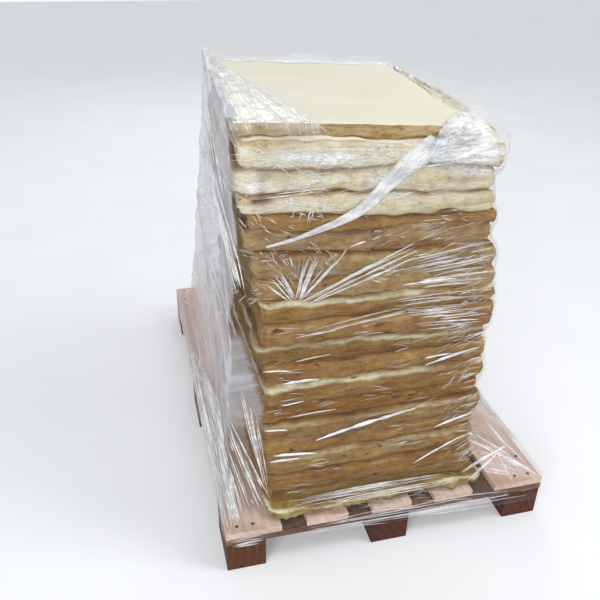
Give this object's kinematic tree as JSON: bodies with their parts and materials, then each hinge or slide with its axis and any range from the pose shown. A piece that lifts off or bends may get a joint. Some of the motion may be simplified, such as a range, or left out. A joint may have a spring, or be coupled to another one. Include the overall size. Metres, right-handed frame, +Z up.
{
  "type": "pallet load of glass wool insulation slabs",
  "caption": "Stack of soft insulation slabs leaning on a wooden block pallet, under a tent of clear stretch film tied down to the pallet's edge.",
  "frame": {"origin": "middle of the pallet's underside, on the floor", "axes": "+Z up, +Y along the pallet's long side from the end where the stack stands to the empty end, +X to the right seen from the stack's end"},
  "size_m": [0.805, 1.2053, 1.0411],
  "materials": {
    "deck_wood": "sawn, weathered softwood",
    "stringer_wood": "sawn softwood",
    "block_wood": "pressed and sawn block wood, reddish",
    "glass_wool": "matt fibrous wool, paler at the cut edges",
    "stretch_film": "clear, glossy, creased film",
    "nail_steel": "nail heads, dull and lightly rusted"
  },
  "bodies": {
    "root": {"block_1_1": "block_wood", "block_1_2": "block_wood", "block_1_3": "block_wood", "block_2_1": "block_wood", "block_2_2": "block_wood", "block_2_3": "block_wood", "block_3_1": "block_wood", "block_3_2": "block_wood", "block_3_3": "block_wood", "deck_board_1": "deck_wood", "deck_board_2": "deck_wood", "deck_board_3": "deck_wood", "deck_board_4": "deck_wood", "deck_board_5": "deck_wood", "slab_01": "glass_wool", "slab_02": "glass_wool", "slab_03": "glass_wool", "slab_04": "glass_wool", "slab_05": "glass_wool", "slab_06": "glass_wool", "slab_07": "glass_wool", "slab_08": "glass_wool", "slab_09": "glass_wool", "slab_10": "glass_wool", "slab_11": "glass_wool", "slab_12": "glass_wool", "slab_13": "glass_wool", "slab_14": "glass_wool", "slab_15": "glass_wool", "slab_16": "glass_wool", "slab_17": "glass_wool", "slab_18": "glass_wool", "slab_19": "glass_wool", "slab_20": "glass_wool", "stretch_film": "stretch_film", "stringer_board_1": "stringer_wood", "stringer_board_2": "stringer_wood", "stringer_board_3": "stringer_wood"}
  },
  "joints": []
}
